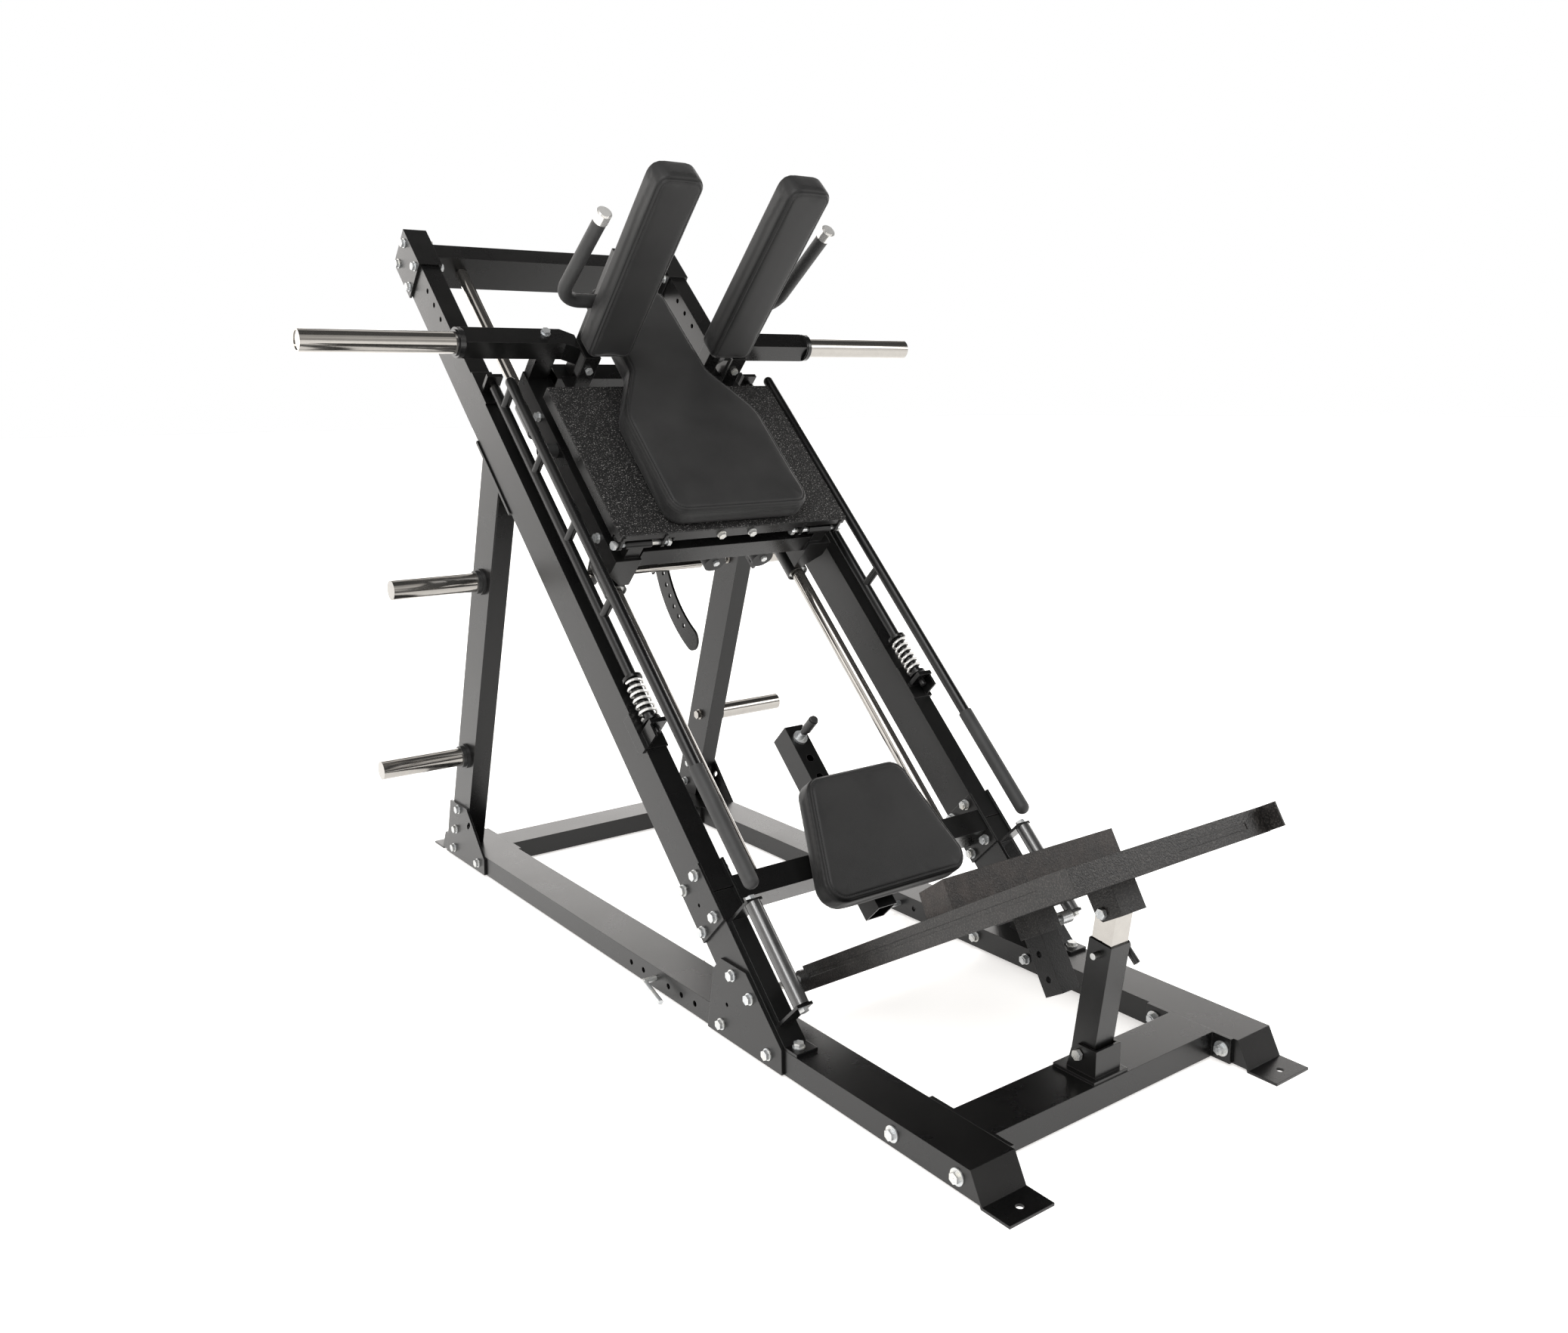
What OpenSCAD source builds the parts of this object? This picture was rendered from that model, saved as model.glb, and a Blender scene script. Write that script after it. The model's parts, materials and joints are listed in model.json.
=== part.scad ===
// Inclined sled machine for hack squats and leg presses.
// Millimetres. +Z is up, the front (foot plate end) is at -Y, the top of the
// rails is at +Y and the right-hand side is at +X. The origin is on the floor,
// on the plane of symmetry, half way along the base rails.
// Names ending in _s are distances up the 45 degree slope from the floor line,
// names ending in _n are heights square to it above the rails' top line.

/* [Base frame] */
// Length of each base rail between its foot bends
base_len = 2160; // [2150:1:2170]
// Overall width over the base rails
frame_w = 796; // [790:2:806]
// Height of the base tube
base_h = 50; // [48:1:52]
// Length of each folded floor foot
foot_len = 60; // [55:1:70]
// Diameter of the floor anchor holes
anchor_d = 14; // [10:1:16]
// Pitch of the pin holes in the base rails
hole_pitch = 51.8; // [50:0.1:52]

/* [Inclined rails] */
// Distance along the slope from the floor line to the top of the rails
rail_end = 2377; // [2374:1:2378]
// Depth of the rail tube, square to the slope
rail_d = 100; // [100:1:102]
// Diameter of the guide rods
rod_d = 32; // [30:1:34]
// Distance of each guide rod from the middle of the machine
rod_x = 262.5; // [262:0.5:263]

/* [Weight horns and storage] */
// Diameter of the chrome weight sleeves
horn_d = 50; // [48:0.5:50]
// Free length of each weight sleeve
horn_l = 351; // [300:1:400]
// Diameter of the storage pegs
peg_d = 48; // [44:1:50]
// Free length of each storage peg
peg_l = 214; // [180:1:240]

/* [Sled] */
// Width of the tilting press plate
plate_w = 632; // [600:2:640]
// Length of the tilting press plate
plate_l = 455; // [440:1:460]
// Pitch angle of the holes in the tilt quadrant
quad_pitch = 5.7; // [5.5:0.1:5.8]
// Thickness of the back pad
back_t = 51; // [45:1:53]

/* [Shoulder pads and handles] */
// Width of each shoulder pad
pad_w = 118; // [110:1:119]
// Thickness of each shoulder pad
pad_t = 61; // [50:1:62]
// Height of each shoulder pad above its lower end
pad_h = 504; // [430:1:510]
// Diameter of the handle tube
handle_d = 32; // [28:1:34]

/* [Safety catches] */
// Diameter of the catch tubes
catch_d = 25; // [22:1:26]
// Diameter of the rungs
rung_d = 20; // [16:1:22]

/* [Foot plate] */
// Width of the standing foot plate
foot_w = 540; // [520:2:550]
// Depth of its folded skirts
foot_d = 46; // [40:1:48]
// Width of the raised calf block
block_w = 448; // [400:2:480]
// Pitch of the holes in the calf block's post
block_pitch = 47.5; // [46:0.5:49]

/* [Hidden] */
$fn = 40;
wall = 3;                        // usual tube wall
plate_t = 6;                     // usual plate thickness
along_x = 0;                     // open axis of a tube
along_y = 1;
along_z = 2;

// Finishes
base_paint = [0.13, 0.13, 0.14];
bracket_paint = [0.15, 0.15, 0.16];
sled_paint = [0.16, 0.16, 0.17];
rail_paint = [0.17, 0.17, 0.18];
upright_paint = [0.2, 0.2, 0.21];
catch_paint = [0.2, 0.2, 0.2];
rubber = [0.12, 0.12, 0.12];
chrome = [0.85, 0.85, 0.86];
zinc = [0.7, 0.7, 0.72];
pin_steel = [0.8, 0.8, 0.8];

// Bolts
bolt_d = 12;
bolt_hole = 13;                  // clearance hole
pivot_hole = 12.1;               // close hole for a 12 mm pin or pivot
hex_d = 20.8;                    // head and nut of the 12 mm bolts, over corners
small_hex_d = 19;                // the same of the 10 mm bolts
head_h = 7.5;
nut_h = 10;
washer_d = 24;
washer_t = 2.5;

// Base frame
half_w = frame_w/2;              // outer face of the base rails and inclined rails
base_in = half_w - 100;          // inner face of the base rails
rail_in = half_w - 50;           // inner face of the inclined rails
flange_in = base_in - 8;         // inner face of the crossmembers' end flanges
base_bottom = 6;
base_top = base_bottom + base_h;
base_mid = base_bottom + base_h/2;
half_len = base_len/2;
plate_out = 404;                 // outer face of the plates outside the rails
plate_in = 342;                  // inner face of the plates inside the rails
hitch_y = -97;                   // base rail hole that holds the hitch pin

// Inclined rails
slope_y0 = -625;                 // where the rails' top line meets the floor
diag = sqrt(0.5);                // sine and cosine of the slope
rod_n = -50;
joint_s = 420;                   // splice of lower and upper rail
rail_foot_z = base_top + plate_t;
foot_bolt_x = 376;               // bolt that holds the lower rail's foot
foot_bolt_y = -578;

// Rear uprights
upright_lean = 18.93;
upright_y = 961;                 // centre where it meets the base rail
upright_half = 50/cos(upright_lean);
lean_tan = tan(upright_lean);
saddle_t = 8;                    // plate between upright and rail
saddle_x = 373;
saddle_bolts_s = [1525, 1718];
peg_places = [[870, 318], [703, 806]];   // Y, Z

// Seat, receiver and hand grips
receiver_pin_s = 728;
grip_x = 371;
grip_n = 72;

// Sled
beam_n = -23;                    // underside of the side beams
sled_low = 1200;                 // ends of the side beams, along the slope
sled_high = 1800;
hinge_s = 1219;                  // press plate hinge
hinge_n = 102;
quad_r = 308;                    // radius of the quadrant's row of holes
quad_in = 286;                   // inner and outer radius of its strip
quad_out = 342;
quad_rod_s = 1330;               // cross rod
quad_rod_n = -143;
plate_low = 1211;                // lower edge of the press plate
plate_high = plate_low + plate_l;
housings_s = [1200, 1710];       // lower ends of the bearing housings
bearing_d = 47;
bumper_xs = [-11, 128];
horn_s = 1797;
horn_n = 157;
horn_half = 25;                  // half width of the horn arms
horn_arm_x = 486;                // outer ends of the horn arms
sleeve_x = 504;                  // inner ends of the sleeves
shoulder_x = 171;
shoulder_bolt_x = 208;
shoulder_bolt_n = 174;
pad_back_s = 1745;               // upper face of the shoulder pads
bend_x = 247;                    // start of the handle's bend
bend_r = 54;
handle_top = 259;

// Safety catches
catch_x = 372;
catch_n = 28;                    // pivot axis
catch_top_n = 100;               // tube parallel to the pivot axis

// Foot plate, in its own frame unless on the slope
foot_slope = 30.8;
foot_pivot_s = 214;              // pivot on the lower rail
foot_pivot_n = -50;
foot_pivot_y = slope_y(foot_pivot_s, foot_pivot_n);
foot_pivot_z = slope_z(foot_pivot_s, foot_pivot_n);
deck_top = 22;
deck_bottom = 18;
block_y = -414;                  // post of the calf block
block_pin_z = -51;

// Telescoping post, with its lower pivot on the front crossmember
post_lean = 8;
post_y = -955;
post_z = 95;
post_l = 281;                    // between the post's pivots
post_pin_z = 199;                // through pin above the lower pivot

// Upper post pivot in the foot plate's frame
upper_dy = post_y - post_l*sin(post_lean) - foot_pivot_y;
upper_dz = post_z + post_l*cos(post_lean) - foot_pivot_z;
upper_y = upper_dy*cos(foot_slope) - upper_dz*sin(foot_slope);
upper_z = upper_dy*sin(foot_slope) + upper_dz*cos(foot_slope);

// ---------- shapes ----------
module box(x0, x1, y0, y1, z0, z1) {
  translate([x0, y0, z0]) cube([x1-x0, y1-y0, z1-z0]);
}
// hollow box, open along one axis
module tube(x0, x1, y0, y1, z0, z1, axis, t = wall) {
  in = [for (i = [0 : 2]) i == axis ? -1 : t];
  difference() {
    box(x0, x1, y0, y1, z0, z1);
    box(x0+in[0], x1-in[0], y0+in[1], y1-in[1], z0+in[2], z1-in[2]);
  }
}
// outline in (Y, Z), drawn from x0 to x1
module profile(x0, x1, points) {
  translate([x0, 0, 0]) rotate([90, 0, 90]) linear_extrude(x1-x0) polygon(points);
}
module x_cyl(x0, x1, y, z, d) {
  translate([x0, y, z]) rotate([0, 90, 0]) cylinder(d = d, h = x1-x0);
}
module y_cyl(y0, y1, x, z, d) {
  translate([x, y0, z]) rotate([-90, 0, 0]) cylinder(d = d, h = y1-y0);
}
module z_cyl(z0, z1, x, y, d) {
  translate([x, y, z0]) cylinder(d = d, h = z1-z0);
}
// round-ended slot along X, from (ya, za) to (yb, zb)
module x_slot(x0, x1, ya, za, yb, zb, d) {
  length = sqrt((yb-ya)*(yb-ya) + (zb-za)*(zb-za));
  x_cyl(x0, x1, ya, za, d);
  x_cyl(x0, x1, yb, zb, d);
  translate([x0, ya, za]) rotate([atan2(zb-za, yb-ya), 0, 0])
    translate([0, 0, -d*0.48]) cube([x1-x0, length, d*0.96]);
}
// bolt heads and nuts; dir = -1 points hex_y towards -Y
module hex_x(x, y, z, h, d = hex_d) {
  translate([x, y, z]) rotate([0, 90, 0]) cylinder(d = d, h = h, $fn = 6);
}
module hex_y(x, y, z, h, d = hex_d, dir = 1) {
  translate([x, y, z]) rotate([-90*dir, 0, 0]) cylinder(d = d, h = h, $fn = 6);
}
module hex_z(x, y, z, h, d = hex_d) {
  translate([x, y, z]) cylinder(d = d, h = h, $fn = 6);
}
// left half of a symmetric outline, followed by its mirror image in reverse order
function symmetric(left) =
  concat(left, [for (i = [len(left)-1 : -1 : 0]) [-left[i][0], left[i][1]]]);

// ---------- frames ----------
module left() { mirror([1, 0, 0]) children(); }
module both() {
  children();
  left() children();
}
// slope frame: X across, Y up the slope (s), Z square to it (n)
module on_slope() { translate([0, slope_y0, 0]) rotate([45, 0, 0]) children(); }
// foot plate frame: origin on the pivot, toe end towards -Y, Z square to the plate
module on_foot() {
  translate([0, foot_pivot_y, foot_pivot_z]) rotate([-foot_slope, 0, 0]) children();
}
// post frame: Z up the post from the lower pivot
module on_post() { translate([0, post_y, post_z]) rotate([post_lean, 0, 0]) children(); }
// machine Y and Z of a point on the slope
function slope_y(s, n) = slope_y0 + (s - n)*diag;
function slope_z(s, n) = (s + n)*diag;

// ---------- bolts through the frame, right-hand side ----------
// each: outer face, inner face, y, z, washer diameter
base_bolts = [
  [plate_out, flange_in, 978, base_mid, washer_d],
  [plate_out, flange_in, 819, base_mid, washer_d],
  [plate_out, base_in, -360, base_mid, washer_d],
  [plate_out, base_in, -517, base_mid, washer_d],
  [half_w, flange_in, -1025, base_mid, 30],
  [half_w, flange_in, -868, base_mid, 30],
  [plate_out, rail_in, 932, 153, washer_d],
  [plate_out, rail_in, 959, 90, washer_d],
  [plate_out, rail_in, -401, 149, washer_d],
  [plate_out, rail_in, -460, 122, washer_d]];
// each: s, n
slope_bolts = [[377, -22], [471, -22], [375, -84], [470, -84],
               [2357, -18], [2357, -84], [2268, -18], [2268, -84]];

// washer and head outside, washer and nut inside
module hex_bolt(outer, inner, y, z, washer) {
  x_cyl(inner-14, outer+3, y, z, bolt_d);
  x_cyl(outer, outer+washer_t, y, z, washer);
  hex_x(outer+washer_t, y, z, head_h);
  x_cyl(inner-washer_t, inner, y, z, washer);
  hex_x(inner-washer_t-nut_h, y, z, nut_h);
}
module base_holes() {
  for (b = base_bolts) x_cyl(b[1]-30, b[0]+30, b[2], b[3], bolt_hole);
}
module slope_holes() {
  for (b = slope_bolts) x_cyl(plate_in-30, plate_out+30, b[0], b[1], bolt_hole);
}

// ---------- base frame ----------
module base_rail() {
  difference() {
    union() {
      difference() {
        profile(base_in, half_w,
          [[-half_len+5, base_bottom], [-half_len+32, base_top],
           [half_len-32, base_top], [half_len-5, base_bottom]]);
        profile(base_in+wall, half_w-wall,
          [[-half_len+3, base_bottom+wall], [-half_len+29, base_top-wall],
           [half_len-29, base_top-wall], [half_len-3, base_bottom+wall]]);
      }
      // sloping end sheets, folded out into the floor feet
      for (end = [0, 1]) mirror([0, end, 0])
        profile(base_in, half_w,
          [[-half_len+32, base_top], [-half_len+26.5, base_top], [-half_len, 5],
           [-half_len-foot_len, 5], [-half_len-foot_len, 0],
           [-half_len+2.4, 0], [-half_len+5, base_bottom]]);
    }
    for (end = [-1, 1])
      z_cyl(-1, 7, (half_w+base_in)/2, end*(half_len+foot_len*0.55), anchor_d);
    for (i = [-3 : 2])
      x_cyl(base_in-5, half_w+5, hitch_y + i*hole_pitch, base_mid, bolt_hole);
    z_cyl(base_top-10, base_top+2, foot_bolt_x, foot_bolt_y, bolt_hole);
    base_holes();
  }
}
module base_rail_right() { color(base_paint) base_rail(); }
module base_rail_left() { color(base_paint) left() base_rail(); }

// cross tube from y0 to y1, with end flanges from flange_y0 to flange_y1
module crossmember(y0, y1, flange_y0, flange_y1) {
  tube(-flange_in, flange_in, y0, y1, base_bottom, base_top, along_x);
  both() difference() {
    box(flange_in, base_in, flange_y0, flange_y1, base_bottom, base_top);
    base_holes();
  }
}
module front_crossmember() {
  pad_top = base_top + plate_t;
  color(base_paint) {
    crossmember(-1003, -903, -1044, -850);
    // post base plate, pivot cheeks and the web that joins them
    box(-45, 45, -1001, -905, base_top, pad_top);
    both() difference() {
      profile(27, 33, [[-993, pad_top], [-993, base_top+57], [-950, base_top+57],
                       [-936, base_top+44], [-926, pad_top]]);
      x_cyl(20, 40, post_y, post_z, pivot_hole);
    }
    box(-27, 27, -993, -988, pad_top, base_top+57);
  }
}
module rear_crossmember() { color(base_paint) crossmember(842, 942, 791, 1006); }

// where an upright's edge, starting at y on the base rail, meets the saddle
function upright_top(y) =
  let (floor_y = y + lean_tan*base_top,
       saddle_rise = -slope_y0 - (rail_d+saddle_t)/diag,
       z = (floor_y + saddle_rise)/(1 + lean_tan))
  [floor_y - z*lean_tan, z];
module upright() {
  front_y = upright_y - upright_half;
  rear_y = upright_y + upright_half;
  difference() {
    union() {
      difference() {
        profile(rail_in, half_w,
          [[front_y, base_top], upright_top(front_y), upright_top(rear_y), [rear_y, base_top]]);
        profile(rail_in+wall, half_w-wall,
          [[front_y+3.2, base_top-1], upright_top(front_y+3.2)+[-5, 5],
           upright_top(rear_y-3.2)+[-5, 5], [rear_y-3.2, base_top-1]]);
      }
      on_slope() box(rail_in-4, half_w+4, 1500, 1735, -rail_d-saddle_t, -rail_d);
    }
    on_slope() for (s = saddle_bolts_s) z_cyl(-rail_d-12, -rail_d+4, saddle_x, s, 11);
    base_holes();
    for (place = peg_places) x_cyl(rail_in-5, half_w+5, place[0], place[1], 17);
  }
}
module upright_right() { color(upright_paint) upright(); }
module upright_left() { color(upright_paint) left() upright(); }

module rear_gussets() {
  color(bracket_paint) both() difference() {
    profile(half_w, plate_out,
      [[987, 167], [878, 167], [778, 50], [782, base_bottom], [1038, base_bottom]]);
    base_holes();
    x_slot(half_w-2, plate_out+2, 865, 126, 874, 117, 13);
  }
}
module front_gussets() {
  color(bracket_paint) both() difference() {
    profile(half_w, plate_out,
      [[-334, 140], [-362, 171], [-447, 170], [-561, 57], [-561, base_bottom],
       [-309, base_bottom]]);
    base_holes();
    x_cyl(half_w-2, plate_out+2, -381, 80, 9);
  }
}

// ---------- storage ----------
// each peg with its stud, inner washer and nut
module storage_pegs() {
  color(pin_steel) both() for (place = peg_places) {
    x_cyl(half_w+18, half_w+18+peg_l, place[0], place[1], peg_d);
    x_cyl(rail_in-8, half_w+18, place[0], place[1], 16);
    x_cyl(rail_in-3, rail_in, place[0], place[1], 30);
    hex_x(rail_in-13, place[0], place[1], 10, 26);
  }
}
module peg_collars() {
  color([0.1, 0.1, 0.1]) both() for (place = peg_places) difference() {
    union() {
      x_cyl(half_w, half_w+8, place[0], place[1], 66);
      x_cyl(half_w+8, half_w+18, place[0], place[1], 58);
    }
    x_cyl(half_w-1, half_w+19, place[0], place[1], 16.4);
  }
}

// ---------- inclined rails ----------
module main_rail() {
  difference() {
    on_slope() tube(rail_in, half_w, joint_s+1, rail_end, -rail_d, 0, along_y);
    on_slope() slope_holes();
    on_slope() for (s = [2180, 2128, 2076]) x_cyl(rail_in-5, half_w+5, s, -22, bolt_hole);
    on_slope() for (s = saddle_bolts_s) z_cyl(-rail_d-2, -rail_d+6, saddle_x, s, 11);
  }
}
module main_rail_right() { color(rail_paint) main_rail(); }
module main_rail_left() { color(rail_paint) left() main_rail(); }

module lower_rail() {
  end_s = joint_s - 1;
  difference() {
    union() {
      difference() {
        profile(rail_in, half_w,
          [[rail_foot_z+slope_y0, rail_foot_z],
           [slope_y(end_s, 0), slope_z(end_s, 0)],
           [slope_y(end_s, -rail_d), slope_z(end_s, -rail_d)],
           [rail_foot_z+slope_y0+rail_d/diag, rail_foot_z]]);
        on_slope() box(rail_in+wall, half_w-wall, -20, joint_s+10, -rail_d+wall, -wall);
      }
      // foot on the base rail
      difference() {
        box(rail_in, half_w-0.5, -600, -418, base_top, rail_foot_z);
        z_cyl(base_top-2, base_top+8, foot_bolt_x, foot_bolt_y, bolt_hole);
      }
    }
    on_slope() slope_holes();
    base_holes();
    on_slope() x_cyl(rail_in-5, half_w+5, foot_pivot_s, foot_pivot_n, 16);
  }
}
module lower_rail_right() { color(sled_paint) lower_rail(); }
module lower_rail_left() { color(sled_paint) left() lower_rail(); }

module splice_plates() {
  gap = 0.02;
  color(bracket_paint) on_slope() both()
    for (x = [[half_w+gap, plate_out], [plate_in, rail_in-gap]]) difference() {
      box(x[0], x[1], 357, 484, -rail_d, 5);
      slope_holes();
      x_cyl(330, 410, 420.5, -56, 8);
    }
}
module top_crossmember() {
  low_s = 2250;
  high_s = 2383;
  bottom_n = -rail_d - 6;
  color(sled_paint) on_slope() {
    difference() {
      tube(-plate_in, plate_in, 2287, 2337, -rail_d, -1, along_x);
      both() y_cyl(2280, 2295, rod_x, rod_n, rod_d+0.4);
    }
    // caps round the rails' upper ends
    both() difference() {
      union() {
        box(half_w, plate_out, low_s, high_s, bottom_n, 6);
        box(plate_in, rail_in, low_s, high_s, bottom_n, 6);
        box(rail_in, half_w, low_s, high_s, 0, 6);
        box(rail_in, half_w, high_s-4, high_s, bottom_n, 0);
      }
      slope_holes();
    }
  }
}
module guide_rods() { color(chrome) on_slope() both() y_cyl(400, 2325, rod_x, rod_n, rod_d); }

// ---------- seat ----------
module seat_crossmember() {
  color(bracket_paint) on_slope() both() difference() {
    tube(25, plate_in, 391, 443, -77, 0, along_x);
    y_cyl(430, 450, rod_x, rod_n, rod_d+0.4);
  }
}
module receiver_tube() {
  color(rail_paint) on_slope() difference() {
    tube(-25, 25, 297, 761, -86, -26, along_y);
    for (s = [674, 624, 574]) z_cyl(-32, -20, 0, s, 18);
    z_cyl(-32, -20, 0, receiver_pin_s, pivot_hole);
  }
}
// seat frame, tipped up from the slope
module on_seat() { translate([0, 440, 58]) rotate([6, 0, 0]) children(); }
// left half, front to back: x, y in the seat frame
seat_outline = [[-165, -140], [-198, -116], [-196, -84], [-150, 112], [-116, 134]];
module seat_pad() {
  color(rubber) on_slope() on_seat()
    translate([0, 0, -33]) linear_extrude(51) polygon(symmetric(seat_outline));
}
module seat_bracket() {
  // webs under the plate: lower s, upper s, height at each
  webs = [[345, 390, 9, 12.5], [444, 535, 18, 27.5]];
  color(bracket_paint) on_slope() {
    on_seat() box(-110, 110, -105, 100, -39, -33);
    both() for (w = webs)
      profile(25, 30, [[w[0], -80], [w[1], -80], [w[1], w[3]], [w[0], w[2]]]);
  }
}

// ---------- front hand grips ----------
module hand_grips() {
  color(rubber) on_slope() both() difference() {
    y_cyl(134, 350, grip_x, grip_n, 32);
    y_cyl(133, 351, grip_x, grip_n, 12.5);
  }
}
module hand_grip_brackets() {
  color(bracket_paint) on_slope() both() difference() {
    union() {
      for (s = [128, 350]) box(352, 388, s, s+6, 0, 82);
      box(352, 388, 128, 356, 0, 5);
    }
    y_cyl(120, 360, grip_x, grip_n, 12.5);
  }
}

// ---------- safety catch brackets (fixed) ----------
module catch_brackets() {
  color(bracket_paint) on_slope() both() {
    // upper
    difference() {
      union() {
        box(346, 398, 1756, 1862, 0, 5);
        box(352, 392, 1796, 1806, 5, 52);
      }
      y_cyl(1790, 1812, catch_x, catch_n, 16.1);
    }
    // lower
    difference() {
      union() {
        box(346, 403, 757, 848, 0, 5);
        profile(398, 403, [[770, -26], [848, -26], [848, 5], [757, 5], [757, -12]]);
        box(352, 392, 790, 800, 5, 52);
        box(387, 392, 762, 790, 5, 46);
      }
      y_cyl(780, 812, catch_x, catch_n, 16.1);
    }
  }
}

// ---------- bolts of the frame ----------
module foot_bolt() {
  z_cyl(base_top-18, base_top+9, foot_bolt_x, foot_bolt_y, bolt_d);
  z_cyl(rail_foot_z, rail_foot_z+washer_t, foot_bolt_x, foot_bolt_y, washer_d);
  hex_z(foot_bolt_x, foot_bolt_y, rail_foot_z+washer_t, head_h);
  hex_z(foot_bolt_x, foot_bolt_y, base_top-wall-nut_h, nut_h);
}
module saddle_bolts() {
  for (s = saddle_bolts_s) {
    z_cyl(-rail_d-9, -rail_d+14, saddle_x, s, 10);
    hex_z(saddle_x, s, -rail_d-14.5, 6.5, 17.3);
    hex_z(saddle_x, s, -rail_d+wall, 8, 17.3);
  }
}
module hand_grip_bolt() {
  y_cyl(124, 360, grip_x, grip_n, bolt_d);
  hex_y(grip_x, 128, grip_n, 8, dir = -1);
  hex_y(grip_x, 356, grip_n, 8);
}
module foot_pivot_bolt() {
  x_cyl(252, half_w-0.5, foot_pivot_s, foot_pivot_n, 15.9);
  hex_x(240, foot_pivot_s, foot_pivot_n, 12, 24);
}
module frame_bolts() {
  color(zinc) both() {
    for (b = base_bolts) hex_bolt(b[0], b[1], b[2], b[3], b[4]);
    foot_bolt();
    on_slope() {
      for (b = slope_bolts) hex_bolt(plate_out, plate_in, b[0], b[1], washer_d);
      saddle_bolts();
      hand_grip_bolt();
      foot_pivot_bolt();
    }
  }
}

// ---------- sled ----------
// side beam section, bevelled on its lower outer corner, shrunk by inset
module beam_section(inset) {
  polygon([[238+inset, 66-inset], [304-inset, 66-inset], [304-inset, 18+0.4*inset],
           [264-0.4*inset, beam_n+inset], [238+inset, beam_n+inset]]);
}
module beam_run(s0, s1, inset) {
  translate([0, s1, 0]) rotate([90, 0, 0]) linear_extrude(s1-s0) beam_section(inset);
}
// hollow, closed at both ends
module side_beam() {
  difference() {
    beam_run(sled_low, sled_high, 0);
    beam_run(sled_low+4, sled_high-4, 3.5);
  }
}
// point (s, n) on a circle about the hinge, the angle measured from straight below
function about_hinge(r, angle) = [hinge_s + r*sin(angle), hinge_n - r*cos(angle)];
// hole i of the quadrant, counted from the tip, at rest
function quad_hole(i) = about_hinge(quad_r, -5.4 + i*quad_pitch);
pin_place = quad_hole(6);        // hole opposite the quadrant pin

module sled_frame() {
  color(sled_paint) on_slope() {
    both() side_beam();
    tube(-238, 238, 1208, 1258, 34, 84, along_x);
    tube(-238, 238, 1750, sled_high, 22, 90, along_x);
    tube(-238, 238, 1415, 1455, 22, 62, along_x);
    // hinge sleeves for the press plate
    both() difference() {
      union() {
        x_cyl(222, 288, hinge_s, hinge_n, 22);
        box(242, 280, 1209, 1229, 66, hinge_n);
      }
      x_cyl(210, 290, hinge_s, hinge_n, pivot_hole);
    }
    // carriers of the quadrant's cross rod
    both() difference() {
      profile(230, 238, [[1300, 0], [1400, 0], [1350, -160], [1310, -160]]);
      x_cyl(225, 245, quad_rod_s, quad_rod_n, 20.4);
    }
    // carrier of the quadrant pin
    difference() {
      profile(-40, -34, [[1415, 22], [1455, 22], [1400, -190], [1350, -196], [1348, -150],
                         [1372, -120]]);
      x_cyl(-50, -30, pin_place[0], pin_place[1], pivot_hole);
    }
  }
}
module bearing_housings() {
  color(sled_paint) on_slope() both() for (s = housings_s) difference() {
    y_cyl(s, s+90, rod_x, rod_n, 54);
    y_cyl(s-1, s+91, rod_x, rod_n, bearing_d);
  }
}
module linear_bearings() {
  color([0.6, 0.6, 0.62]) on_slope() both() for (s = housings_s) difference() {
    y_cyl(s+5, s+85, rod_x, rod_n, bearing_d);
    y_cyl(s+4, s+86, rod_x, rod_n, rod_d+0.1);
  }
}
module horn_arms() {
  color(sled_paint) on_slope() both() {
    tube(236, horn_arm_x, horn_s-horn_half, horn_s+horn_half,
         horn_n-horn_half, horn_n+horn_half, along_x);
    // solid inner end
    translate([0, 0, horn_n-horn_half]) linear_extrude(2*horn_half)
      polygon([[236, horn_s-horn_half], [236, horn_s+horn_half],
               [203, horn_s+6], [203, horn_s-42]]);
    box(250, 300, 1772, sled_high, 66, horn_n-horn_half);
  }
}
module horn_collars() {
  color([0.3, 0.3, 0.3]) on_slope() both() difference() {
    union() {
      x_cyl(horn_arm_x, 489, horn_s, horn_n, 66);
      x_cyl(489, 500, horn_s, horn_n, 70);
      x_cyl(500, sleeve_x, horn_s, horn_n, 60);
    }
    x_cyl(horn_arm_x-1, sleeve_x+1, horn_s, horn_n, 20.4);
  }
}
// each sleeve with its stud and end disc
module horn_sleeves() {
  bore = horn_d - 8;
  end_x = sleeve_x + horn_l;
  color(chrome) on_slope() both() {
    difference() {
      x_cyl(sleeve_x, end_x, horn_s, horn_n, horn_d);
      x_cyl(sleeve_x+12, end_x+1, horn_s, horn_n, bore);
    }
    x_cyl(horn_arm_x+0.2, sleeve_x+1, horn_s, horn_n, 20);
    x_cyl(end_x-6, end_x-2, horn_s, horn_n, bore);
  }
}
module shoulder_pads() {
  color(rubber) on_slope() both()
    translate([shoulder_x-pad_w/2, pad_back_s, 215]) rotate([90, 0, 0]) linear_extrude(pad_t)
      polygon([[20, 0], [pad_w-20, 0], [pad_w, 20], [pad_w, pad_h-28], [pad_w-24, pad_h],
               [24, pad_h], [0, pad_h-28], [0, 20]]);
}
module shoulder_brackets() {
  color(bracket_paint) on_slope() both() {
    tube(165, 203, 1752, 1790, 90, 450, along_z);
    box(150, 205, pad_back_s, 1752, 230, 600);
    // flat bars that tie the pads' lower ends to the sled
    difference() {
      box(188, 228, 1690, 1696, 90, 213);
      y_cyl(1680, 1700, shoulder_bolt_x, shoulder_bolt_n, 11);
    }
    box(188, 228, 1696, 1752, 207, 213);
    box(188, 228, 1690, 1752, 90, 96);
  }
}
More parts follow.
